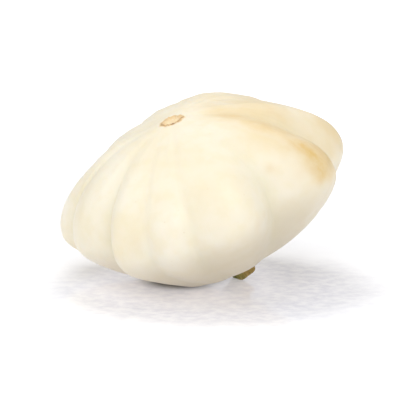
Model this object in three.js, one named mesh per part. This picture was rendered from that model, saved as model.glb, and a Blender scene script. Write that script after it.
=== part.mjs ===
// A mature white pattypan squash, picked with a short cut stem, lying tipped on its stem side.
// Millimetres, +Z up, resting on z = 0, with +Y running away from the front.
import * as THREE from 'three';

const DEG = Math.PI / 180;

// ---- overall size and the shape of one meridian, in the fruit's own frame (blossom end up) ----
const HALF_WIDTH = 75;           // centre to rim, before the lobes
const BLOSSOM_HEIGHT = 42.5;     // centre to blossom scar
const STEM_HEIGHT = 40.5;       // centre to stem seat
const BLOSSOM_HOLLOW = 0.14;     // how much the blossom side is drawn in next to the rim
const STEM_HOLLOW = 0.29;        // the same for the stem side, which is more like a cone
const EQUATOR_BLEND = 0.12;      // radians over which one side passes into the other

// ---- how far the outline and the rim stray from a flat circle ----
const THREE_SIDED = 0.04;        // share of the radius
const SADDLE_LIFT = 6.6;         // the rim rises and falls twice on the way round
const SADDLE_AT = 56 * DEG;
const TRIPLE_LIFT = 5.3;         // and three times, a little less
const TRIPLE_AT = 44 * DEG;
const BLOSSOM_SHIFT = new THREE.Vector2(-3.5, -2.5);   // the two ends do not face each other
const STEM_SHIFT = new THREE.Vector2(0, -12);

// ---- the ten lobes, going round: where each furrow runs, its depth, the swell of the lobe after it ----
const LOBES = [
  { furrow: 11, depth: 0.010, swell: 0.045 },
  { furrow: 55, depth: 0.035, swell: 0.040 },
  { furrow: 86, depth: 0.040, swell: 0.050 },
  { furrow: 119, depth: 0.045, swell: 0.045 },
  { furrow: 151, depth: 0.070, swell: -0.005 },
  { furrow: 190, depth: 0.100, swell: 0.035 },
  { furrow: 214, depth: 0.030, swell: 0.000 },
  { furrow: 233, depth: 0.050, swell: 0.025 },
  { furrow: 269, depth: 0.120, swell: 0.040 },
  { furrow: 330, depth: 0.130, swell: 0.090 },
];
const FURROW_SOFTNESS = 0.35;    // rounds the floor of a furrow
const BLOSSOM_FADE = 1.8;        // how soon the lobes die out towards the blossom end
const STEM_FADE = 2.0;
const LOBE_THICKNESS = 0.6;      // a lobe is fuller in height too, by this share of its swell

// ---- the heel: the fuller side of the underside, which the fruit lies on ----
const HEEL_DROP = 5;
const HEEL_AT = 125 * DEG;
const HEEL_RADIUS = 0.46;        // distance from the stem, as a share of the half width
const HEEL_SPREAD = 0.15;
const HEEL_REACH = 1.5;

// ---- blossom scar: a ring of cork round a small hollow ----
const SCAR_RIM_RADIUS = 5.4;
const SCAR_RIM_WIDTH = 1.5;
const SCAR_RIM_HEIGHT = 0.7;
const SCAR_HOLLOW_RADIUS = 3.2;
const SCAR_HOLLOW_DEPTH = 0.9;

// ---- stem stub: five ribs, flared where it joins, cut across ----
const STEM_GAP = 0.3;            // clearance between the stem and the fruit
const STEM_LENGTH = 6.5;         // on its axis, from the seat to the cut
const STEM_CUT_SLANT = 0.25;     // rise of the cut for each millimetre across
const STEM_WAIST = 5.9;
const STEM_FOOT_FLARE = 2.1;
const STEM_CUT_FLARE = 0.6;
const STEM_RIBS = 5;
const STEM_RIB_DEPTH = 0.07;
const STEM_TIP_SHIFT = new THREE.Vector2(1.3, -2.0);  // the stub bends over by this much, at the cut

// ---- how it lies ----
const LEAN = 22 * DEG;           // tilt of the fruit's axis
const HEADING = 34 * DEG;        // turn of that tilt about the vertical
const CENTRE_HEIGHT = 46.7;      // what lies lower is the flat spot it has settled on

// ---- fineness of the surfaces ----
const COLUMNS = 80;
const RING_STEP = 4.5 * DEG;
const SCAR_RINGS = [1.6, 3.2, 4.6, 6.0, 7.4, 9.4];   // radii in millimetres
const SEAT_RINGS = [3.0, 6.2, 9.4];
const STEM_COLUMNS = 40;
const STEM_BASE_RINGS = [2.6, 5.2];
const STEM_SIDE_RINGS = 7;

const Y_AXIS = new THREE.Vector3(0, 1, 0);
const Z_AXIS = new THREE.Vector3(0, 0, 1);

const bell = (distance, width) => Math.exp(-((distance / width) ** 2));
const ease = (t) => t * t * (3 - 2 * t);
const mix = (a, b, t) => a + (b - a) * t;
const turn = (angle) => THREE.MathUtils.euclideanModulo(angle, 2 * Math.PI);

// Relief of the lobes round the fruit: negative along a furrow, positive on the crown of a lobe.
function lobeRelief(azimuth) {
  for (let i = 0; i < LOBES.length; i += 1) {
    const here = LOBES[i];
    const next = LOBES[(i + 1) % LOBES.length];
    const span = turn((next.furrow - here.furrow) * DEG);
    const along = turn(azimuth - here.furrow * DEG) / span;
    if (along < 1) {
      const arch = Math.hypot(Math.sin(Math.PI * along), FURROW_SOFTNESS) - FURROW_SOFTNESS;
      const crown = arch / (Math.hypot(1, FURROW_SOFTNESS) - FURROW_SOFTNESS);
      const floor = -mix(here.depth, next.depth, ease(along));
      return mix(floor, here.swell, crown);
    }
  }
  return 0;
}

function scarRelief(radius) {
  const rim = SCAR_RIM_HEIGHT * bell(radius - SCAR_RIM_RADIUS, SCAR_RIM_WIDTH);
  return rim - SCAR_HOLLOW_DEPTH * bell(radius, SCAR_HOLLOW_RADIUS);
}

// One point of the skin in the fruit's own frame; latitude runs from +90 degrees at the blossom scar
// to -90 degrees at the stem.
function skinPoint(azimuth, latitude) {
  const out = Math.cos(latitude);
  const up = Math.sin(latitude);
  const side = 0.5 * (1 + Math.tanh(latitude / EQUATOR_BLEND));
  const fade = mix(out ** STEM_FADE, out ** BLOSSOM_FADE, side);
  const lobe = lobeRelief(azimuth) * fade;
  const outline = 1 + THREE_SIDED * Math.cos(3 * azimuth) * out;
  const radius = HALF_WIDTH * outline * out * (1 + lobe);
  const height = mix(STEM_HEIGHT, BLOSSOM_HEIGHT, side);
  const hollow = 1 - mix(STEM_HOLLOW, BLOSSOM_HOLLOW, side) * out * out;
  const saddle = SADDLE_LIFT * Math.cos(2 * (azimuth - SADDLE_AT));
  const triple = TRIPLE_LIFT * Math.cos(3 * (azimuth - TRIPLE_AT));
  let z = height * up * hollow * (1 + LOBE_THICKNESS * lobe) + (saddle + triple) * out * out;
  if (up < 0) {
    const towards = (0.5 + 0.5 * Math.cos(azimuth - HEEL_AT)) ** HEEL_REACH;
    z -= HEEL_DROP * towards * bell(out - HEEL_RADIUS, HEEL_SPREAD);
  } else {
    z += scarRelief(HALF_WIDTH * out);
  }
  const blossomShift = Math.max(up, 0) ** 2;
  const stemShift = Math.max(-up, 0) ** 3;
  const x = radius * Math.cos(azimuth) + BLOSSOM_SHIFT.x * blossomShift + STEM_SHIFT.x * stemShift;
  const y = radius * Math.sin(azimuth) + BLOSSOM_SHIFT.y * blossomShift + STEM_SHIFT.y * stemShift;
  return new THREE.Vector3(x, y, z);
}

// Turns a point of the fruit's own frame into the lying pose and flattens what would sink below the floor.
function lay(point) {
  point.applyAxisAngle(Y_AXIS, -LEAN);
  point.applyAxisAngle(Z_AXIS, HEADING);
  point.z = Math.max(point.z + CENTRE_HEIGHT, 0);
  return point;
}

// Closes a stack of rings, each with the same number of points, between two end points.
function closedSurface(firstPoint, rings, lastPoint) {
  const columns = rings[0].length;
  const points = [firstPoint, ...rings.flat(), lastPoint];
  const last = points.length - 1;
  const faces = [];
  const at = (ring, column) => 1 + ring * columns + (column % columns);
  for (let column = 0; column < columns; column += 1) {
    faces.push(0, at(0, column), at(0, column + 1));
    faces.push(last, at(rings.length - 1, column + 1), at(rings.length - 1, column));
    for (let ring = 0; ring + 1 < rings.length; ring += 1) {
      const a = at(ring, column);
      const b = at(ring, column + 1);
      const c = at(ring + 1, column);
      const d = at(ring + 1, column + 1);
      faces.push(a, c, d, a, d, b);
    }
  }
  const geometry = new THREE.BufferGeometry().setFromPoints(points);
  geometry.setIndex(faces);
  geometry.computeVertexNormals();
  return geometry;
}

const azimuths = (count) => Array.from({ length: count }, (_, i) => (i / count) * 2 * Math.PI);

function ringLatitudes() {
  const scar = SCAR_RINGS.map((radius) => Math.acos(radius / HALF_WIDTH));
  const seat = SEAT_RINGS.map((radius) => -Math.acos(radius / HALF_WIDTH)).reverse();
  const from = scar[scar.length - 1];
  const to = seat[0];
  const steps = Math.round((from - to) / RING_STEP);
  const between = Array.from({ length: steps - 1 }, (_, i) => mix(from, to, (i + 1) / steps));
  return [...scar, ...between, ...seat];
}

function fruitGeometry() {
  const around = azimuths(COLUMNS);
  const rings = ringLatitudes().map((latitude) => around.map((azimuth) => lay(skinPoint(azimuth, latitude))));
  return closedSurface(lay(skinPoint(0, Math.PI / 2)), rings, lay(skinPoint(0, -Math.PI / 2)));
}

// The stem side as the stem sees it: the point of the skin this far from the stem seat's middle,
// moved off the skin by the clearance.
function seatPoint(azimuth, radius) {
  const point = skinPoint(azimuth, -Math.acos(radius / HALF_WIDTH));
  point.z -= STEM_GAP;
  return point;
}

function stemRadius(azimuth, along) {
  const ribs = 1 + STEM_RIB_DEPTH * Math.cos(STEM_RIBS * azimuth);
  return (STEM_WAIST + STEM_FOOT_FLARE * (1 - along) ** 3 + STEM_CUT_FLARE * along ** 3) * ribs;
}

// One point of the stem's side; along runs from 0 at the fruit to 1 at the cut.
function stemSidePoint(azimuth, along) {
  const foot = seatPoint(azimuth, stemRadius(azimuth, 0));
  const middle = seatPoint(0, 0);
  const radius = stemRadius(azimuth, along);
  const bend = along * along;
  const across = radius * Math.cos(azimuth);
  const x = middle.x + across + STEM_TIP_SHIFT.x * bend;
  const y = middle.y + radius * Math.sin(azimuth) + STEM_TIP_SHIFT.y * bend;
  const cutZ = middle.z - STEM_LENGTH + STEM_CUT_SLANT * across;
  return new THREE.Vector3(x, y, mix(foot.z, cutZ, along));
}

function stemGeometry() {
  const around = azimuths(STEM_COLUMNS);
  const base = STEM_BASE_RINGS.map((radius) => around.map((azimuth) => lay(seatPoint(azimuth, radius))));
  const side = Array.from({ length: STEM_SIDE_RINGS }, (_, i) => i / (STEM_SIDE_RINGS - 1))
    .map((along) => around.map((azimuth) => lay(stemSidePoint(azimuth, along))));
  const middle = seatPoint(0, 0);
  const cutMiddle = middle.clone();
  cutMiddle.x += STEM_TIP_SHIFT.x;
  cutMiddle.y += STEM_TIP_SHIFT.y;
  cutMiddle.z -= STEM_LENGTH;
  return closedSurface(lay(middle), [...base, ...side], lay(cutMiddle));
}

function piece(name, geometry, colour, roughness) {
  const material = new THREE.MeshStandardMaterial({ color: colour, roughness, metalness: 0 });
  const mesh = new THREE.Mesh(geometry, material);
  mesh.name = name;
  return mesh;
}

const squash = new THREE.Group();
squash.name = 'pattypan_squash';
squash.add(piece('fruit', fruitGeometry(), '#f6eed4', 0.45));
squash.add(piece('stem', stemGeometry(), '#7d7a45', 0.8));

// The middle of the whole box stands over the origin.
const middle = new THREE.Box3().setFromObject(squash).getCenter(new THREE.Vector3());
squash.children.forEach((mesh) => mesh.geometry.translate(-middle.x, -middle.y, 0));

export default squash;
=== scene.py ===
import math

import bpy
import numpy as np
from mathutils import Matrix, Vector


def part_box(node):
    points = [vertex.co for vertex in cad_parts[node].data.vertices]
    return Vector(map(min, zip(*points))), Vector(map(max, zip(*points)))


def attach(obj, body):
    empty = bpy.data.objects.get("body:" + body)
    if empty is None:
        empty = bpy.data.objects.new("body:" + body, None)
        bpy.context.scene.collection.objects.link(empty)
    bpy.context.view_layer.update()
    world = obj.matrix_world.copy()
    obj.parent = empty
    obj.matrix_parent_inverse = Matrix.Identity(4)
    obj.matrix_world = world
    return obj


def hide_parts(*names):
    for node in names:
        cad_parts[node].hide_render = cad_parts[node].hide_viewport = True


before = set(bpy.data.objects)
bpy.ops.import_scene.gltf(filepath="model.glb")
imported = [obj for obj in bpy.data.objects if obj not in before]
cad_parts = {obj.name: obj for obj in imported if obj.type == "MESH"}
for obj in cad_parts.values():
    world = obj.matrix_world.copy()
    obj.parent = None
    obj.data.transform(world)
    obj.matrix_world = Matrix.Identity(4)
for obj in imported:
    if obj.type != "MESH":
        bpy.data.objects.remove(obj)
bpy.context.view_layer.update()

# A mature white pattypan squash lying tipped on its stem side. Lengths are millimetres in the
# fruit's own frame (blossom end up) unless a comment says otherwise, and become metres in the
# mesh. Azimuth goes round the fruit and latitude runs from the stem up to the blossom scar, both
# in radians. "Out" is the cosine of latitude, 0 at both ends and 1 at the rim, and "up" is its
# sine. A pair ending in _OUT or _UP is where something starts and where it is full.
MM = 0.001
DEG = math.pi / 180
TURN = 2 * math.pi

# ---- shape of one meridian ----
HALF_WIDTH = 75.0
BLOSSOM_HEIGHT = 42.5
STEM_HEIGHT = 40.5
BLOSSOM_HOLLOW = 0.14
STEM_HOLLOW = 0.29
EQUATOR_BLEND = 0.12                      # radians over which one side passes into the other

# ---- outline and rim ----
THREE_SIDED = 0.04
SADDLE_LIFT, SADDLE_AT = 6.6, 56 * DEG
TRIPLE_LIFT, TRIPLE_AT = 5.3, 44 * DEG
BLOSSOM_SHIFT = (-3.5, -2.5)
STEM_SHIFT = (0.0, -12.0)

# ---- lobes: furrow azimuth in degrees, its depth, the swell of the lobe after it ----
LOBES = (
    (11, 0.010, 0.045),
    (55, 0.035, 0.040),
    (86, 0.040, 0.050),
    (119, 0.045, 0.045),
    (151, 0.070, -0.005),
    (190, 0.100, 0.035),
    (214, 0.030, 0.000),
    (233, 0.050, 0.025),
    (269, 0.120, 0.040),
    (330, 0.130, 0.090),
)
FURROW_SOFTNESS = 0.35
BLOSSOM_FADE, STEM_FADE = 1.8, 2.0
LOBE_THICKNESS = 0.6

# ---- heel it lies on: its radius and spread are values of out ----
HEEL_DROP, HEEL_AT = 5.0, 125 * DEG
HEEL_RADIUS, HEEL_SPREAD, HEEL_REACH = 0.46, 0.15, 1.5

# ---- blossom scar: an uneven oval ring of cork round a hollow, and a low lip outside it ----
SCAR_RIM_RADIUS, SCAR_RIM_WIDTH, SCAR_RIM_HEIGHT = 5.4, 1.2, 0.7
SCAR_OVAL, SCAR_OVAL_TURN = 0.5, 0.8
SCAR_UNEVEN, SCAR_LUMP_SIZE, SCAR_LUMP_SEED = 0.35, 5.0, 11
SCAR_RIM_LUMPS = 0.25                     # share of the ring's height
SCAR_GRAIN, SCAR_GRAIN_SIZE, SCAR_GRAIN_SEED = 0.18, 1.3, 12
SCAR_GRAIN_ENDS = (1.0, 2.2)              # outside the ring
SCAR_HOLLOW_RADIUS, SCAR_HOLLOW_DEPTH = 3.2, 0.9
SCAR_DARK_SIDE, SCAR_SHIFT = 236 * DEG, 0.7
SCAR_LIP_RADIUS, SCAR_LIP_WIDTH, SCAR_LIP_HEIGHT = 8.4, 1.3, 0.40

# ---- fine relief of the skin ----
GROOVE_DEPTH, GROOVE_WIDTH = 0.45, 2.2
WELT_HEIGHT, WELT_OFFSET, WELT_WIDTH = 0.30, 3.2, 1.2
CLEAREST_GROOVE, CLEAREST_REACH = 151 * DEG, 0.2
OTHER_GROOVES = 0.4                       # how clear the others are beside the clearest
GROOVE_OUT, GROOVE_UP = (0.30, 0.75), (-0.85, -0.2)
RIB_HEIGHT, RIB_COUNTS, RIB_SEED = 0.10, (17, 23, 29, 36), 7
RIB_OUT = (0.10, 0.5)
BROAD_DENT, BROAD_SIZE, BROAD_SEED = 0.32, 30.0, 3
SMALL_DENT, SMALL_SIZE, SMALL_SEED = 0.07, 9.0, 4
CALM_ROUND_SCAR = (7.0, 16.0)             # from the pole; the relief sets in between these
CALM_HEEL_OUT = (0.62, 0.85)

# ---- where the tones of the skin lie, painted shade among them ----
# The furrows take a greenish tint with painted shade, more in deep ones.
FURROW_TONE_WIDTH, FURROW_TONE_FADE = 5.0, 1.5
FURROW_DEEP, FURROW_LEAST = 0.1, 0.25     # depth that takes the full tone, and the least share
WEATHERED_AT = 345 * DEG
WEATHERED_ACROSS = (0.15, 0.90)           # cosine of the angle from there
WEATHERED_OUT, WEATHERED_UP = (0.12, 0.35), (-0.3, 0.25)
# Where the stem side, which faces down, is painted darker: painted shade.
PAINTED_SHADE_DOWN = (-0.05, 0.60)            # minus up
STAIN_AT, STAIN_BEND = 298 * DEG, 43 * DEG
STAIN_LOWER, STAIN_UPPER = (4.0, 7.5), (9.0, 11.0)    # width at the scar, and what the rim adds
STAIN_FAINT, STAIN_STRONG_OUT = 0.55, (0.70, 0.97)
STAIN_OUT, STAIN_UP = (0.2, 0.4), (-0.24, 0.14)
STAIN_RAGGED, STAIN_RAGGED_SIZE, STAIN_SEED = 0.08, 14.0, 31
SPOTS = (                                 # azimuth and latitude in degrees, size, strength
    (276, 23, 3.0, 0.26),
    (210, 14, 3.4, 0.10),
    (257, -8, 3.0, 0.14),
    (40, 20, 3.2, 0.30),
    (104, 10, 2.6, 0.25),
)
CORK_MARGIN, CORK_EDGE = 1.1, (-0.5, 0.8)
PIT_EDGE = (2.6, 4.6)
RING_TONE_WIDTH, RING_TONE_LEAST = 0.8, 0.15          # least on the side away from the dark one

# ---- stem ----
STEM_GAP = 0.3
STEM_LENGTH = 6.5
STEM_CUT_SLANT = 0.25
STEM_WAIST, STEM_FOOT_FLARE, STEM_CUT_FLARE = 5.9, 2.1, 0.6
STEM_RIBS, STEM_RIB_DEPTH = 5, 0.07
STEM_FIBRES = ((31, 2, 0.010), (53, -3, 0.008))       # count round, twist, depth
STEM_TIP_SHIFT = (1.3, -2.0)
STEM_SUNNED_AT = 320 * DEG
STEM_STREAKS = ((13, 0.0), (21, 1.1), (34, 2.3))      # count round, turn
CUT_ROUNDING, CUT_ROUNDED_FROM = 0.05, 0.93
CUT_HOLLOW, CUT_HOLLOW_WIDTH = 0.35, 0.45
CUT_GRAIN, CUT_GRAIN_SIZE, CUT_GRAIN_SEED = 0.10, 1.4, 21
CUT_TONE_FROM = 0.97
PITH_EDGE = (0.25, 0.6)

# ---- how it lies ----
LEAN, HEADING = 22 * DEG, 34 * DEG
CENTRE_HEIGHT = 46.7

# ---- mesh fineness ----
FRUIT_COLUMNS, FRUIT_RINGS = 432, 220
SCAR_SHARE = 0.13            # share of the rings spent on the scar and the skin just round it
SCAR_FIRST, SCAR_REACH = 0.35, 11.0       # from the blossom pole
LAST_RING = 0.8                           # from the stem pole
STEM_COLUMNS, STEM_RINGS, SEAT_RINGS, CUT_RINGS = 240, 70, 8, 40
SEAT_SHARES, CUT_SHARES = (0.12, 0.88), (0.96, 0.02)  # first and last ring, of the stem's radius


# ---------------------------------------------------------------- curves and patterns


def ease(t):
    return t * t * (3 - 2 * t)


def mix(a, b, t):
    return a + (b - a) * t


def bell(distance, width):
    return np.exp(-((distance / width) ** 2))


def step(low, high, value):
    """0 below low, 1 above high, and a smooth climb between."""
    return ease(np.clip((value - low) / (high - low), 0, 1))


def signed_angle(angle):
    """The same angle between minus half a turn and half a turn."""
    return np.mod(angle + math.pi, TURN) - math.pi


def facing(azimuth, towards):
    """1 on the side that faces an azimuth, 0 on the far side, and half a cosine between."""
    return 0.5 + 0.5 * np.cos(azimuth - towards)


def ripples(points, wavelength, seed, waves=14):
    """Smooth unevenness, mostly between -1 and 1: plane sine waves in random directions, added up
    and divided by the square root of their number."""
    rng = np.random.default_rng(seed)
    total = np.zeros(points.shape[:-1])
    for _ in range(waves):
        direction = rng.normal(size=3)
        direction /= np.linalg.norm(direction)
        number = TURN / (wavelength * rng.uniform(0.75, 1.35))
        total += np.sin(points @ direction * number + rng.uniform(0, TURN))
    return total / math.sqrt(waves)


# ---------------------------------------------------------------- shape of the fruit


def lobe_place(azimuth):
    """For each azimuth: how far along its lobe it is (0 to 1), the depths of the furrows on both
    sides, the lobe's swell and the lobe's width in radians."""
    along = np.zeros_like(azimuth)
    before, after = np.zeros_like(azimuth), np.zeros_like(azimuth)
    swell, width = np.zeros_like(azimuth), np.ones_like(azimuth)
    for i, (furrow, depth, lobe_swell) in enumerate(LOBES):
        next_furrow, next_depth, _ = LOBES[(i + 1) % len(LOBES)]
        span = ((next_furrow - furrow) % 360) * DEG
        turned = np.mod(azimuth - furrow * DEG, TURN)
        inside = turned < span
        along[inside] = turned[inside] / span
        before[inside], after[inside] = depth, next_depth
        swell[inside], width[inside] = lobe_swell, span
    return along, before, after, swell, width


def lobe_relief(azimuth):
    """Softened half sine across each lobe, from the furrow floor up to the lobe's swell."""
    along, before, after, swell, _ = lobe_place(azimuth)
    arch = np.hypot(np.sin(math.pi * along), FURROW_SOFTNESS) - FURROW_SOFTNESS
    crown = arch / (math.hypot(1, FURROW_SOFTNESS) - FURROW_SOFTNESS)
    return mix(-mix(before, after, ease(along)), swell, crown)


def skin(azimuth, latitude):
    """The fruit's skin: a flattened lens, half width times cosine of latitude out and height times
    sine of latitude up, drawn in next to the rim; the radius swells with the lobes, the rim rises
    and falls twice and three times a turn, and the two ends are slid sideways."""
    out, up = np.cos(latitude), np.sin(latitude)
    side = 0.5 * (1 + np.tanh(latitude / EQUATOR_BLEND))
    lobe = lobe_relief(azimuth) * mix(out ** STEM_FADE, out ** BLOSSOM_FADE, side)
    radius = HALF_WIDTH * (1 + THREE_SIDED * np.cos(3 * azimuth) * out) * out * (1 + lobe)
    hollow = 1 - mix(STEM_HOLLOW, BLOSSOM_HOLLOW, side) * out * out
    height = mix(STEM_HEIGHT, BLOSSOM_HEIGHT, side) * up * hollow * (1 + LOBE_THICKNESS * lobe)
    saddle = SADDLE_LIFT * np.cos(2 * (azimuth - SADDLE_AT))
    lift = saddle + TRIPLE_LIFT * np.cos(3 * (azimuth - TRIPLE_AT))
    towards_heel = facing(azimuth, HEEL_AT) ** HEEL_REACH
    heel = np.where(up < 0, HEEL_DROP * towards_heel * bell(out - HEEL_RADIUS, HEEL_SPREAD), 0)
    z = height + lift * out * out - heel
    top, bottom = np.maximum(up, 0) ** 2, np.maximum(-up, 0) ** 3
    x = radius * np.cos(azimuth) + BLOSSOM_SHIFT[0] * top + STEM_SHIFT[0] * bottom
    y = radius * np.sin(azimuth) + BLOSSOM_SHIFT[1] * top + STEM_SHIFT[1] * bottom
    return np.stack([x, y, z], -1)


def outward(azimuth, latitude, nudge=0.002):
    """Unit normal of the skin: the cross product of its slopes along azimuth and latitude."""
    inner = np.clip(latitude, -math.pi / 2 + nudge * 2, math.pi / 2 - nudge * 2)
    east = skin(azimuth + nudge, inner) - skin(azimuth - nudge, inner)
    north = skin(azimuth, inner + nudge) - skin(azimuth, inner - nudge)
    normal = np.cross(east, north)
    return normal / np.linalg.norm(normal, axis=-1, keepdims=True)


def scar_ring_radius(azimuth, points):
    """Distance of the scar's ring from the pole: slightly oval, uneven and off centre."""
    oval = SCAR_OVAL * np.cos(2 * azimuth - SCAR_OVAL_TURN)
    shift = SCAR_SHIFT * np.cos(azimuth - SCAR_DARK_SIDE)
    uneven = SCAR_UNEVEN * ripples(points, SCAR_LUMP_SIZE, SCAR_LUMP_SEED)
    return SCAR_RIM_RADIUS + oval + shift + uneven


def scar_relief(azimuth, radius, points):
    """Corky scar: a raised lumpy ring, a bell across its width, round a bell-shaped hollow, with
    fine grain inside and a low lip outside it on one side."""
    ring_radius = scar_ring_radius(azimuth, points)
    lumps = 1 + SCAR_RIM_LUMPS * ripples(points, SCAR_LUMP_SIZE, SCAR_LUMP_SEED)
    ring = SCAR_RIM_HEIGHT * lumps * bell(radius - ring_radius, SCAR_RIM_WIDTH)
    hollow = SCAR_HOLLOW_DEPTH * bell(radius, SCAR_HOLLOW_RADIUS)
    rough = SCAR_GRAIN * ripples(points, SCAR_GRAIN_SIZE, SCAR_GRAIN_SEED)
    grain = rough * (1 - step(*SCAR_GRAIN_ENDS, radius - ring_radius))
    lip_side = facing(azimuth, SCAR_DARK_SIDE)
    lip = SCAR_LIP_HEIGHT * lip_side * bell(radius - SCAR_LIP_RADIUS, SCAR_LIP_WIDTH)
    return ring - hollow + grain + lip


def groove_relief(azimuth, latitude):
    """The fine line along the floor of every furrow: a narrow dip between two slight welts,
    clearest along one furrow, fading out towards both poles."""
    along, _, _, _, width = lobe_place(azimuth)
    reach = HALF_WIDTH * np.cos(latitude) * width
    offset = np.where(along < 0.5, along, along - 1) * reach
    dip = GROOVE_DEPTH * bell(offset, GROOVE_WIDTH)
    welts = bell(offset - WELT_OFFSET, WELT_WIDTH) + bell(offset + WELT_OFFSET, WELT_WIDTH)
    clearest = bell(signed_angle(azimuth - CLEAREST_GROOVE), CLEAREST_REACH)
    fade = step(*GROOVE_OUT, np.cos(latitude)) * step(*GROOVE_UP, np.sin(latitude))
    return (WELT_HEIGHT * welts - dip) * fade * mix(OTHER_GROOVES, 1.0, clearest)


def rib_relief(azimuth, latitude):
    """Faint ribs that run down from the scar, full from half way out: sines of several counts
    round the fruit, added up and divided by the square root of their number."""
    rng = np.random.default_rng(RIB_SEED)
    total = np.zeros_like(azimuth)
    for count in RIB_COUNTS:
        total += np.sin(count * azimuth + rng.uniform(0, TURN))
    return RIB_HEIGHT * total / math.sqrt(len(RIB_COUNTS)) * step(*RIB_OUT, np.cos(latitude))


def skin_relief(azimuth, latitude, radius, points):
    """How far the skin stands off its smooth shape: dents, grooves and ribs away from the scar and
    the heel, plus the scar's own relief on the blossom side."""
    dents = BROAD_DENT * ripples(points, BROAD_SIZE, BROAD_SEED)
    dents = dents + SMALL_DENT * ripples(points, SMALL_SIZE, SMALL_SEED)
    uneven = dents + groove_relief(azimuth, latitude) + rib_relief(azimuth, latitude)
    off_heel = np.where(latitude > 0, 1, step(*CALM_HEEL_OUT, np.cos(latitude)))
    scar = np.where(latitude > 0, scar_relief(azimuth, radius, points), 0)
    return scar + uneven * step(*CALM_ROUND_SCAR, radius) * off_heel


def fruit_latitudes():
    """Ring latitudes from pole to pole: close together over the scar, then evenly spaced."""
    scar_rings = int(FRUIT_RINGS * SCAR_SHARE)
    near = np.arccos(np.linspace(SCAR_FIRST, SCAR_REACH, scar_rings) / HALF_WIDTH)
    last = -math.acos(LAST_RING / HALF_WIDTH)
    far = np.linspace(near[-1], last, FRUIT_RINGS - scar_rings + 1)[1:]
    return np.concatenate([near, far])


def lay(points):
    """Turns own-frame points into the lying pose: lean back about Y, turn about Z, lift, and
    flatten whatever would sink below the surface."""
    x, y, z = points[..., 0], points[..., 1], points[..., 2]
    leaned_x = x * math.cos(LEAN) - z * math.sin(LEAN)
    leaned_z = x * math.sin(LEAN) + z * math.cos(LEAN)
    turned_x = leaned_x * math.cos(HEADING) - y * math.sin(HEADING)
    turned_y = leaned_x * math.sin(HEADING) + y * math.cos(HEADING)
    return np.stack([turned_x, turned_y, np.maximum(leaned_z + CENTRE_HEIGHT, 0)], -1)


def closed_mesh(name, first, rings, last, attributes):
    """A closed skin over a grid of rings with a point at each end. rings is (ring, column, 3) in
    millimetres; attributes maps a name to one value per point in the same order."""
    count, columns = rings.shape[:2]
    points = np.concatenate([[first], rings.reshape(-1, 3), [last]]) * MM
    index = 1 + np.arange(count * columns).reshape(count, columns)
    right = np.roll(index, -1, axis=1)
    quads = np.stack([index[:-1], index[1:], right[1:], right[:-1]], -1).reshape(-1, 4)
    top = np.stack([np.zeros(columns, int), index[0], right[0]], -1)
    bottom = np.stack([np.full(columns, len(points) - 1), right[-1], index[-1]], -1)
    corners = np.concatenate([top.ravel(), bottom.ravel(), quads.ravel()]).astype(np.int32)
    sizes = np.concatenate([np.full(2 * columns, 3), np.full(len(quads), 4)]).astype(np.int32)
    starts = np.concatenate([[0], np.cumsum(sizes)[:-1]]).astype(np.int32)
    mesh = bpy.data.meshes.new(name)
    mesh.vertices.add(len(points))
    mesh.vertices.foreach_set("co", points.astype(np.float32).ravel())
    mesh.loops.add(len(corners))
    mesh.loops.foreach_set("vertex_index", corners)
    mesh.polygons.add(len(sizes))
    mesh.polygons.foreach_set("loop_start", starts)
    mesh.polygons.foreach_set("use_smooth", np.ones(len(sizes), bool))
    mesh.update(calc_edges=True)
    for key, values in attributes.items():
        layer = mesh.attributes.new(key, "FLOAT", "POINT")
        layer.data.foreach_set("value", values.astype(np.float32))
    mesh.validate()
    obj = bpy.data.objects.new(name, mesh)
    bpy.context.scene.collection.objects.link(obj)
    return obj


def with_ends(first, grid, last):
    """The values of a whole mesh: its first point, its rings in order, and its last point."""
    return np.concatenate([[first], grid.ravel(), [last]])


# ---------------------------------------------------------------- tones of the fruit


def furrow_tint_and_shade(azimuth, latitude):
    """A bell across the floor of each furrow, stronger in a deep one, fading at both poles: a
    greenish tint with painted shade in the creases.
    """
    along, before, after, _, width = lobe_place(azimuth)
    nearest = np.minimum(along, 1 - along) * HALF_WIDTH * np.cos(latitude) * width
    depth = np.clip(np.where(along < 0.5, before, after) / FURROW_DEEP, FURROW_LEAST, 1)
    return bell(nearest, FURROW_TONE_WIDTH) * np.cos(latitude) ** FURROW_TONE_FADE * depth


def stain_mask(azimuth, latitude, points):
    """Ochre weathering along the shoulder of one lobe: a band that leaves the scar, bends onto the
    crown of the shoulder, widens towards the rim and is strongest just before it ends there. Each
    of its sides falls off as a bell of its own width."""
    out = np.cos(latitude)
    centre = STAIN_AT + STAIN_BEND * (1 - out) ** 2
    offset = signed_angle(azimuth - centre) * HALF_WIDTH * out
    lower_side = bell(offset, STAIN_LOWER[0] + STAIN_LOWER[1] * out ** 2)
    upper_side = bell(offset, STAIN_UPPER[0] + STAIN_UPPER[1] * out ** 2)
    band = np.where(offset < 0, lower_side, upper_side)
    strength = mix(STAIN_FAINT, 1.0, step(*STAIN_STRONG_OUT, out))
    rim = np.sin(latitude) + STAIN_RAGGED * ripples(points, STAIN_RAGGED_SIZE, STAIN_SEED)
    return band * strength * step(*STAIN_OUT, out) * step(*STAIN_UP, rim)


def spot_mask(points):
    """Small tan freckles: a soft round spot about each listed place on the skin."""
    total = np.zeros(points.shape[:-1])
    for azimuth, latitude, size, strength in SPOTS:
        middle = skin(np.full(1, azimuth * DEG), np.full(1, latitude * DEG))[0]
        total += strength * bell(np.linalg.norm(points - middle, axis=-1), size)
    return np.clip(total, 0, 1)


def weathered_mask(azimuth, latitude):
    """The faintly tanned part of the fruit: its upper face about one azimuth, from the scar out to
    the rim, fading away on all sides."""
    across = step(*WEATHERED_ACROSS, np.cos(azimuth - WEATHERED_AT))
    outwards = step(*WEATHERED_OUT, np.cos(latitude))
    return across * outwards * step(*WEATHERED_UP, np.sin(latitude))


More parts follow.
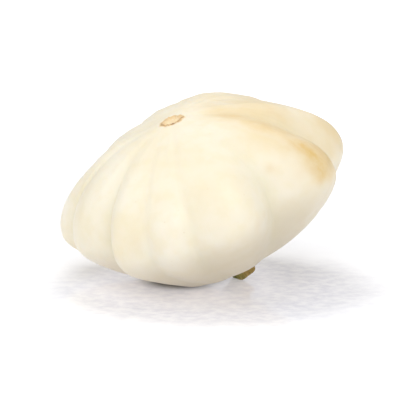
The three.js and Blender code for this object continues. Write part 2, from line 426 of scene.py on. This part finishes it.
def scar_masks(azimuth, radius, points):
    """Where the scar is cork, its pale pit, and its ring, which is darkest on one side."""
    ring_radius = scar_ring_radius(azimuth, points)
    cork = 1 - step(*CORK_EDGE, radius - ring_radius - CORK_MARGIN)
    pit = 1 - step(*PIT_EDGE, radius)
    darkness = mix(RING_TONE_LEAST, 1.0, facing(azimuth, SCAR_DARK_SIDE) ** 2)
    return cork, pit, bell(radius - ring_radius, RING_TONE_WIDTH) * darkness


def build_fruit():
    """The skin moved out along its normal by its relief and laid down, with its tones' masks."""
    around = np.arange(FRUIT_COLUMNS) / FRUIT_COLUMNS * TURN
    azimuth, latitude = np.meshgrid(around, fruit_latitudes())
    points = skin(azimuth, latitude)
    radius = HALF_WIDTH * np.cos(latitude)
    relief = skin_relief(azimuth, latitude, radius, points)
    laid = lay(points + outward(azimuth, latitude) * relief[..., None])
    top = lay(skin(np.zeros(1), np.full(1, math.pi / 2))[0] + [0, 0, -SCAR_HOLLOW_DEPTH])
    bottom = lay(skin(np.zeros(1), np.full(1, -math.pi / 2))[0])
    scar = scar_masks(azimuth, radius, points)
    cork, pit, scar_ring = (np.where(latitude > 0, mask, 0) for mask in scar)
    attributes = {
        # Greenish tint with painted shade along the furrow floors.
        "furrow": with_ends(0, furrow_tint_and_shade(azimuth, latitude), 0),
        "stain": with_ends(0, stain_mask(azimuth, latitude, points), 0),
        "cork": with_ends(1, cork, 0),
        "pit": with_ends(1, pit, 0),
        "scar_ring": with_ends(0, scar_ring, 0),
        "spots": with_ends(0, spot_mask(points), 0),
        "weathered": with_ends(0, weathered_mask(azimuth, latitude), 0),
        # Painted shade: darker on the stem side, which faces down.
        "stem_side": with_ends(0, step(*PAINTED_SHADE_DOWN, -np.sin(latitude)), 1),
    }
    return top, laid, bottom, attributes


# ---------------------------------------------------------------- the stem


def seat(azimuth, radius):
    """The skin round the stem, this far from the middle of the seat, and one gap clear of it."""
    points = skin(azimuth, -np.arccos(radius / HALF_WIDTH))
    points[..., 2] -= STEM_GAP
    return points


def stem_radius(azimuth, along):
    """Ribs and fine fibres, both cosines round the stub, on a waist that flares as a cube towards
    the fruit and a little towards the cut. along is 0 at the fruit and 1 at the cut."""
    ribs = 1 + STEM_RIB_DEPTH * np.cos(STEM_RIBS * azimuth)
    fibres = 1
    for count, twist, depth in STEM_FIBRES:
        fibres = fibres + depth * np.cos(count * azimuth + twist * along)
    flare = STEM_FOOT_FLARE * (1 - along) ** 3 + STEM_CUT_FLARE * along ** 3
    return (STEM_WAIST + flare) * ribs * fibres


def stem_side(azimuth, along, middle, tip):
    """The ribbed side: circles that slide sideways as the square of along, from the height of the
    seat down to the slanted cut, with a rounded edge there."""
    foot = seat(azimuth, stem_radius(azimuth, 0 * along))
    radius = stem_radius(azimuth, along)
    rounded = radius * (1 - CUT_ROUNDING * step(CUT_ROUNDED_FROM, 1.0, along))
    x = middle[0] + rounded * np.cos(azimuth) + tip[0] * along ** 2
    y = middle[1] + rounded * np.sin(azimuth) + tip[1] * along ** 2
    slanted = middle[2] + tip[2] + STEM_CUT_SLANT * radius * np.cos(azimuth)
    return np.stack([x, y, mix(foot[..., 2], slanted, along)], -1)


def stem_cut(azimuth, inward, middle, tip):
    """The cut face: rings that shrink to the middle of a slanted plane, slightly hollowed as a
    bell and grainy. inward is the share of the radius."""
    radius = stem_radius(azimuth, np.ones_like(inward)) * (1 - CUT_ROUNDING) * inward
    x = middle[0] + tip[0] + radius * np.cos(azimuth)
    y = middle[1] + tip[1] + radius * np.sin(azimuth)
    z = middle[2] + tip[2] + STEM_CUT_SLANT * radius * np.cos(azimuth)
    cut = np.stack([x, y, z], -1)
    grain = CUT_GRAIN * ripples(cut, CUT_GRAIN_SIZE, CUT_GRAIN_SEED)
    cut[..., 2] += CUT_HOLLOW * bell(inward, CUT_HOLLOW_WIDTH) + grain
    return cut


def build_stem():
    """Three joined grids: the seat against the fruit, the ribbed side, and the cut face."""
    around = np.arange(STEM_COLUMNS) / STEM_COLUMNS * TURN
    middle = seat(np.zeros(1), np.zeros(1))[0]
    tip = np.array([STEM_TIP_SHIFT[0], STEM_TIP_SHIFT[1], -STEM_LENGTH])
    on_seat, share = np.meshgrid(around, np.linspace(*SEAT_SHARES, SEAT_RINGS))
    on_side, along = np.meshgrid(around, np.linspace(0, 1, STEM_RINGS))
    on_end, inward = np.meshgrid(around, np.linspace(*CUT_SHARES, CUT_RINGS))
    seat_rings = seat(on_seat, share * stem_radius(on_seat, 0 * share))
    side_rings = stem_side(on_side, along, middle, tip)
    cut_rings = stem_cut(on_end, inward, middle, tip)
    rings = np.concatenate([seat_rings, side_rings, cut_rings])
    azimuth = np.concatenate([on_seat, on_side, on_end])
    hidden = np.zeros(share.shape)
    on_cut = np.concatenate([hidden, step(CUT_TONE_FROM, 1.0, along), np.ones(inward.shape)])
    pith = np.concatenate([hidden, np.zeros(along.shape), 1 - step(*PITH_EDGE, inward)])
    streaks = sum(np.cos(count * azimuth + turn) for count, turn in STEM_STREAKS)
    attributes = {
        "sunned": with_ends(0, facing(azimuth, STEM_SUNNED_AT), 0.5),
        "on_cut": with_ends(0, on_cut, 1),
        "pith": with_ends(0, pith, 1),
        "rib": with_ends(0, np.cos(STEM_RIBS * azimuth), 0),
        "fibre": with_ends(0, streaks / len(STEM_STREAKS), 0),
    }
    last = middle + tip + [0, 0, CUT_HOLLOW]
    return lay(middle), lay(rings), lay(last), attributes


# ---------------------------------------------------------------- materials

# Inputs and output of a Mix node that mixes colours, and the soft way to map a range.
FACTOR, UNDER, OVER, MIXED = 0, 6, 7, 2
SMOOTH = {"interpolation_type": "SMOOTHSTEP"}


def colour(hex_code):
    """sRGB hex to the linear colour that nodes use."""
    parts = [int(hex_code[i:i + 2], 16) / 255 for i in (1, 3, 5)]
    linear = [c / 12.92 if c <= 0.04045 else ((c + 0.055) / 1.055) ** 2.4 for c in parts]
    return (*linear, 1.0)


def add(tree, kind, inputs=(), out=0, **settings):
    """Adds one node with its settings, links or sets its inputs, which come in order or by name,
    and gives back one of its outputs."""
    node = tree.nodes.new(kind)
    for key, value in settings.items():
        setattr(node, key, value)
    for key, value in inputs.items() if isinstance(inputs, dict) else enumerate(inputs):
        if isinstance(value, bpy.types.NodeSocket):
            tree.links.new(value, node.inputs[key])
        else:
            node.inputs[key].default_value = value
    return node.outputs[out] if node.outputs else None


def new_material(name, patterns, attributes=()):
    """An empty material with what its colours are made from: noise patterns and the piece's own
    attributes. A pattern is its blotch size in millimetres, detail and roughness, then the noise
    values where it starts and is full with its strengths there, or None for plain noise."""
    material = bpy.data.materials.new(name)
    material.use_nodes = True
    tree = material.node_tree
    tree.nodes.clear()
    where = add(tree, "ShaderNodeTexCoord", out="Object")
    made = {}
    for key, (size, detail, roughness, span) in patterns.items():
        look = {"Vector": where, "Scale": 1 / (size * MM), "Detail": detail, "Roughness": roughness}
        made[key] = add(tree, "ShaderNodeTexNoise", look, "Fac")
        if span:
            made[key] = add(tree, "ShaderNodeMapRange", (made[key], *span), **SMOOTH)
    for key in attributes:
        made[key] = add(tree, "ShaderNodeAttribute", out="Fac", attribute_name=key)
    return material, tree, where, made


def layered(tree, shade, layers):
    """Lays tones over a shade, one after another. A layer is where it shows, its strength there
    and its tone, which is a hex code or another shade."""
    for mask, strength, tone in layers:
        amount = add(tree, "ShaderNodeMath", (mask, strength), operation="MULTIPLY")
        over = colour(tone) if isinstance(tone, str) else tone
        coat = {FACTOR: amount, UNDER: shade, OVER: over}
        shade = add(tree, "ShaderNodeMix", coat, MIXED, data_type="RGBA")
    return shade


def surfaced(tree, look):
    """The material's surface: a principled shader with these inputs."""
    surface = add(tree, "ShaderNodeBsdfPrincipled", look)
    add(tree, "ShaderNodeOutputMaterial", {"Surface": surface})


RIND_PATTERNS = {
    "clouds": (38.0, 3.0, 0.5, (0.35, 0.68, 0.0, 1.0)),
    "mottling": (7.0, 4.0, 0.5, (0.40, 0.72, 0.0, 1.0)),
    "specks": (1.6, 2.0, 0.5, (0.70, 0.80, 0.0, 1.0)),
    "patches": (12.0, 4.0, 0.6, (0.25, 0.75, 0.45, 1.2)),
    "skin_grain": (3.5, 3.0, 0.5, None),
    "cork_flecks": (1.4, 3.0, 0.5, None),
    "cork_scorches": (1.8, 2.0, 0.5, (0.35, 0.65, 0.0, 1.0)),
    "cork_pores": (0.9, 3.0, 0.5, None),
}
WEATHERED_LEAST = 0.55                    # strength of the weathering between the clouds
RIND_SHINIEST, RIND_DULLEST, CORK_ADDS = 0.34, 0.42, 0.35         # roughness
RIND_BUMP, RIND_BUMP_HEIGHT = 0.10, 0.4
RIND_SOAK, RIND_SOAK_DEPTH, RIND_SOAK_TONE = 0.20, 4.0, (1.0, 0.80, 0.50)
RIND_SPECULAR, RIND_IOR = 0.45, 1.45


def rind_material():
    """Ripe squash skin under its own thin wax, which gives a broad soft sheen over flesh that lets
    a little light in. Cream clouds, a greenish tint with painted shade in the furrows, and ochre
    weathering lie in the ivory. The stem side, which faces down, is darker with painted shade,
    and the scar is dry matt cork."""
    names = ("stem_side", "furrow", "weathered", "stain", "spots", "cork", "pit", "scar_ring")
    material, tree, _, made = new_material("waxy ivory squash rind", RIND_PATTERNS, names)
    clouded = (made["clouds"], 0.0, 1.0, WEATHERED_LEAST, 1.0)
    clouded = add(tree, "ShaderNodeMapRange", clouded, **SMOOTH)
    weathered = add(tree, "ShaderNodeMath", (made["weathered"], clouded), operation="MULTIPLY")
    stain = add(tree, "ShaderNodeMath", (made["stain"], made["patches"]), operation="MULTIPLY")
    ring_tone = layered(tree, colour("#7C5026"), [(made["cork_scorches"], 1.0, "#DCB682")])
    cork_tone = layered(tree, colour("#D9B27C"), [
        (made["cork_flecks"], 1.0, "#F2DCB2"),
        (made["scar_ring"], 1.0, ring_tone),
        (made["pit"], 0.6, "#F4E3BE"),
    ])
    shade = layered(tree, colour("#F3ECD9"), [
        (made["clouds"], 1.0, "#F0E6CC"),
        (made["mottling"], 0.22, "#EADCB0"),
        # painted shade on the stem side, which faces down
        (made["stem_side"], 0.75, "#D9CDB2"),
        # greenish tint with painted shade in the furrows
        (made["furrow"], 0.28, "#DDD6AE"),
        (weathered, 0.66, "#E8CF99"),
        (stain, 0.85, "#DFB965"),
        (made["spots"], 1.0, "#D9B774"),
        (made["specks"], 0.15, "#C9A564"),
        (made["cork"], 1.0, cork_tone),
    ])
    pores = add(tree, "ShaderNodeMath", (made["cork"], made["cork_pores"]), operation="MULTIPLY")
    height = add(tree, "ShaderNodeMath", (made["skin_grain"], pores), operation="ADD")
    relief = {"Height": height, "Strength": RIND_BUMP, "Distance": RIND_BUMP_HEIGHT * MM}
    sheen = (made["mottling"], 0.0, 1.0, RIND_SHINIEST, RIND_DULLEST)
    sheen = add(tree, "ShaderNodeMapRange", sheen, **SMOOTH)
    matt = add(tree, "ShaderNodeMath", (made["cork"], CORK_ADDS), operation="MULTIPLY")
    surfaced(tree, {
        "Base Color": shade,
        "Roughness": add(tree, "ShaderNodeMath", (sheen, matt), operation="ADD"),
        "Normal": add(tree, "ShaderNodeBump", relief),
        "Subsurface Weight": RIND_SOAK,
        "Subsurface Radius": RIND_SOAK_TONE,
        "Subsurface Scale": RIND_SOAK_DEPTH * MM,
        "Specular IOR Level": RIND_SPECULAR,
        "IOR": RIND_IOR,
    })
    return material


STEM_PATTERNS = {
    "blotches": (3.5, 3.0, 0.5, (0.35, 0.65, 0.0, 1.0)),
    "fine": (0.8, 3.0, 0.5, (0.35, 0.70, 0.0, 1.0)),
    "pores": (0.7, 3.0, 0.5, None),
}
BROWN_SIDE, GREEN_SIDE = (0.35, 0.95), (0.0, 0.45)    # of how sunned the side is
PALE_FIBRE, DARK_FIBRE = (0.1, 0.7), (-0.7, -0.1)
FIBRE_LEAST = 0.4                         # strength of the fibres between the blotches
STEM_BUMP, STEM_BUMP_HEIGHT = 0.35, 0.3
STEM_ROUGHNESS, STEM_SPECULAR = 0.72, 0.3


def stem_material():
    """Drying stalk, fibrous and matt, with almost no shine: olive skin going brown on its sunned
    side, pale and dark fibres along it, and a woody cut face with a paler pith."""
    names = ("sunned", "rib", "fibre", "pith", "on_cut")
    material, tree, _, made = new_material("dry ribbed squash stalk", STEM_PATTERNS, names)
    kept = (made["blotches"], 0.0, 1.0, FIBRE_LEAST, 1.0)
    kept = add(tree, "ShaderNodeMapRange", kept, **SMOOTH)
    fibre = add(tree, "ShaderNodeMath", (made["fibre"], kept), operation="MULTIPLY")
    spans = {
        "brown": (made["sunned"], *BROWN_SIDE, 0.0, 1.0),
        "green": (made["sunned"], *GREEN_SIDE, 1.0, 0.0),
        "crest": (made["rib"], -1.0, 1.0, 0.0, 1.0),
        "pale": (fibre, *PALE_FIBRE, 0.0, 1.0),
        "dark": (fibre, *DARK_FIBRE, 1.0, 0.0),
    }
    for key, span in spans.items():
        made[key] = add(tree, "ShaderNodeMapRange", span, **SMOOTH)
    cut_tone = layered(tree, colour("#A8894F"), [
        (made["fine"], 1.0, "#6E5330"),
        (made["pith"], 0.7, "#C9B684"),
    ])
    shade = layered(tree, colour("#898C48"), [
        (made["blotches"], 1.0, "#C6AF6E"),
        (made["fine"], 0.4, "#7A5F30"),
        (made["brown"], 0.75, "#CBA464"),
        (made["green"], 0.55, "#56652A"),
        (made["crest"], 0.35, "#B5A765"),
        (made["pale"], 0.45, "#DCC68C"),
        (made["dark"], 0.45, "#4E5424"),
        (made["on_cut"], 1.0, cut_tone),
    ])
    relief = {"Height": made["pores"], "Strength": STEM_BUMP, "Distance": STEM_BUMP_HEIGHT * MM}
    surfaced(tree, {
        "Base Color": shade,
        "Roughness": STEM_ROUGHNESS,
        "Normal": add(tree, "ShaderNodeBump", relief),
        "Specular IOR Level": STEM_SPECULAR,
    })
    return material


# The floor is painted grey round its middle as a painted shadow of the fruit, white further out,
# and it glows with painted light. Its places and distances are in metres, and its patterns and
# bump in millimetres.
FLOOR_HALF = 6.0
FLOOR_MIDDLE, FLOOR_PAINTED_SHADOW_REACH, FLOOR_WHITE_FROM = (0.006, -0.022, 0.0), 0.066, 0.112
FLOOR_RAGGED, FLOOR_GLOW = 0.02, 0.24
# Painted light: the floor glows far out, where it is clear of the painted shadow, and round the
# contact under the fruit's overhang, though not right at the contact.
FAR_FROM, FAR_TO, FAR_GLOW = 0.14, 0.80, 0.50
CONTACT_AT = (-0.0115, -0.004, 0.0)
CONTACT_DARK, CONTACT_LIT, FLOOR_INNER_GLOW = 0.012, 0.027, 0.30
OVERHANG_FROM, OVERHANG_TO, OPEN_SHARE = 0.032, 0.068, 0.18
FLOOR_PATTERNS = {
    "clouds": (26.0, 4.0, 0.6, None),
    "streaks": (6.0, 4.0, 0.6, (0.30, 0.72, 0.0, 1.0)),
    "sheen": (18.0, 3.0, 0.5, (0.3, 0.7, 0.05, 0.16)),
    "waves": (14.0, 3.0, 0.5, None),
}
FLOOR_BUMP, FLOOR_BUMP_HEIGHT, FLOOR_SPECULAR = 0.10, 1.0, 0.5


def floor_material():
    """Polished white board, smooth enough to mirror dimly what lies on it: faintly streaky and
    uneven in its sheen. It is painted grey round the fruit as a painted shadow, and it glows with
    painted light, more away from where the fruit touches it."""
    material, tree, where, made = new_material("polished white board", FLOOR_PATTERNS)
    away = add(tree, "ShaderNodeVectorMath", (where, FLOOR_MIDDLE), "Value", operation="DISTANCE")
    contact = add(tree, "ShaderNodeVectorMath", (where, CONTACT_AT), "Value", operation="DISTANCE")
    ragged = add(tree, "ShaderNodeMath", (made["clouds"], FLOOR_RAGGED), operation="MULTIPLY")
    edge = add(tree, "ShaderNodeMath", (away, ragged), operation="ADD")
    spans = {
        # Painted shadow: grey round the middle, turning white further out.
        "clear_of_painted_shadow": (edge, FLOOR_PAINTED_SHADOW_REACH, FLOOR_WHITE_FROM, 0.0, 1.0),
        "far": (away, FAR_FROM, FAR_TO, 0.0, FAR_GLOW),
        "lit": (contact, CONTACT_DARK, CONTACT_LIT, 0.0, FLOOR_INNER_GLOW),
        "under": (contact, OVERHANG_FROM, OVERHANG_TO, 1.0, OPEN_SHARE),
    }
    for key, span in spans.items():
        made[key] = add(tree, "ShaderNodeMapRange", span, **SMOOTH)
    # Grey where the painted shadow lies, white where the floor is clear of it.
    shade = layered(tree, colour("#E2E2ED"), [
        (made["streaks"], 1.0, "#FAFAFF"),
        (made["clear_of_painted_shadow"], 1.0, "#FBFBFB"),
    ])
    near = add(tree, "ShaderNodeMath", (1.0, made["clear_of_painted_shadow"]), operation="SUBTRACT")
    waves = add(tree, "ShaderNodeMath", (made["waves"], near), operation="MULTIPLY")
    relief = {"Height": waves, "Strength": FLOOR_BUMP, "Distance": FLOOR_BUMP_HEIGHT * MM}
    # Painted light: the glow under the overhang, and over the clear and the far floor.
    inner = add(tree, "ShaderNodeMath", (made["lit"], made["under"]), operation="MULTIPLY")
    outer = add(tree, "ShaderNodeMath", (made["clear_of_painted_shadow"], FLOOR_GLOW), operation="MULTIPLY")
    outer = add(tree, "ShaderNodeMath", (outer, made["far"]), operation="ADD")
    surfaced(tree, {
        "Base Color": shade,
        "Roughness": made["sheen"],
        "Specular IOR Level": FLOOR_SPECULAR,
        "Normal": add(tree, "ShaderNodeBump", relief),
        "Emission Color": colour("#F4F4FF"),
        "Emission Strength": add(tree, "ShaderNodeMath", (inner, outer), operation="MAXIMUM"),
    })
    return material


# ---------------------------------------------------------------- the squash

OUTLINE_COLUMNS, OUTLINE_RINGS, OUTLINE_END = 80, 200, 1.56


def slide_to_cad():
    """How far the lying fruit slides in X and Y, so that the middle of its box is over the middle
    of the CAD solid's."""
    low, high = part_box("fruit")
    around = np.arange(OUTLINE_COLUMNS) / OUTLINE_COLUMNS * TURN
    down = np.linspace(OUTLINE_END, -OUTLINE_END, OUTLINE_RINGS)
    outline = lay(skin(*np.meshgrid(around, down))).reshape(-1, 3)
    middle = (outline.min(0) + outline.max(0)) / 2
    return np.array([(low[i] + high[i]) / 2 / MM - middle[i] for i in (0, 1)] + [0])


slide = slide_to_cad()

top, rings, bottom, attributes = build_fruit()
fruit = closed_mesh("fruit_skin", top + slide, rings + slide, bottom + slide, attributes)
fruit.data.materials.append(rind_material())
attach(fruit, "root")
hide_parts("fruit")

top, rings, bottom, attributes = build_stem()
stem = closed_mesh("stem_stub", top + slide, rings + slide, bottom + slide, attributes)
stem.data.materials.append(stem_material())
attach(stem, "root")
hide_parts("stem")

# ---------------------------------------------------------------- floor, light and camera

corners = [(x * FLOOR_HALF, y * FLOOR_HALF, 0) for x, y in ((-1, -1), (1, -1), (1, 1), (-1, 1))]
floor_mesh = bpy.data.meshes.new("floor")
floor_mesh.from_pydata(corners, [], [(0, 1, 2, 3)])
floor = bpy.data.objects.new("floor", floor_mesh)
bpy.context.scene.collection.objects.link(floor)
floor.data.materials.append(floor_material())

scene = bpy.context.scene
scene.view_settings.view_transform = "Standard"
scene.view_settings.look = "None"

# A white tent, brighter overhead than at the horizon, that the camera sees as plain white.
WORLD_SEEN, WORLD_ZENITH, WORLD_HORIZON = 1.1, 0.92, 0.42
WORLD_BRIGHT_FROM = 0.85                  # sine of the elevation
world = bpy.data.worlds.new("white studio")
scene.world = world
world.use_nodes = True
sky = world.node_tree
sky.nodes.clear()
direction = add(sky, "ShaderNodeTexCoord", out="Generated")
rise = add(sky, "ShaderNodeSeparateXYZ", (direction,), "Z")
tent = add(sky, "ShaderNodeMapRange", (rise, 0.0, WORLD_BRIGHT_FROM, WORLD_HORIZON, WORLD_ZENITH))
seen = add(sky, "ShaderNodeLightPath", out="Is Camera Ray")
strength = add(sky, "ShaderNodeMapRange", (seen, 0.0, 1.0, tent, WORLD_SEEN))
backdrop = add(sky, "ShaderNodeBackground", {"Color": colour("#FFFFFF"), "Strength": strength})
add(sky, "ShaderNodeOutputWorld", {"Surface": backdrop})

SOFT_BOX_SIZE = 0.7                       # metres
SOFT_BOXES = (                            # name, place and target in metres, power in watts
    ("key", (0.03, -0.72, 0.88), (0, 0, 0.04), 4.0),
    ("left", (-0.80, 0.00, 0.80), (0, 0, 0.04), 1.0),
    ("back", (0.10, 0.70, 0.75), (0, 0, 0.06), 0.7),
)


def soft_light(name, place, target, watts):
    """A square white soft box that lights the scene but isn't seen itself."""
    data = bpy.data.lights.new(name, "AREA")
    data.shape = "SQUARE"
    data.size = SOFT_BOX_SIZE
    data.energy = watts
    light = bpy.data.objects.new(name, data)
    light.location = place
    light.rotation_euler = (Vector(target) - Vector(place)).to_track_quat("-Z", "Y").to_euler()
    light.visible_camera = False
    scene.collection.objects.link(light)


for box in SOFT_BOXES:
    soft_light(*box)

# The camera stands well back and looks a little down on the fruit. Its distances are in metres,
# and its lens and sensor in millimetres.
CAMERA_DISTANCE = 0.900
CAMERA_RISE = 10 * DEG
CAMERA_LOW, CAMERA_LEFT = 5.33 * MM, 0.16 * MM
LENS, SENSOR_WIDTH = 155.0, 36.0
CAMERA_REACH = 50.0
centre = Vector((slide[0] * MM, slide[1] * MM, CENTRE_HEIGHT * MM))
forward = Vector((0, math.cos(CAMERA_RISE), -math.sin(CAMERA_RISE)))
upward = Vector((0, math.sin(CAMERA_RISE), math.cos(CAMERA_RISE)))
sideways = Vector((1, 0, 0))
camera_data = bpy.data.cameras.new("camera")
camera_data.lens = LENS
camera_data.sensor_width = SENSOR_WIDTH
camera_data.clip_end = CAMERA_REACH
camera = bpy.data.objects.new("camera", camera_data)
camera.location = centre - forward * CAMERA_DISTANCE - upward * CAMERA_LOW - sideways * CAMERA_LEFT
camera.rotation_euler = forward.to_track_quat("-Z", "Y").to_euler()
scene.collection.objects.link(camera)
scene.camera = camera
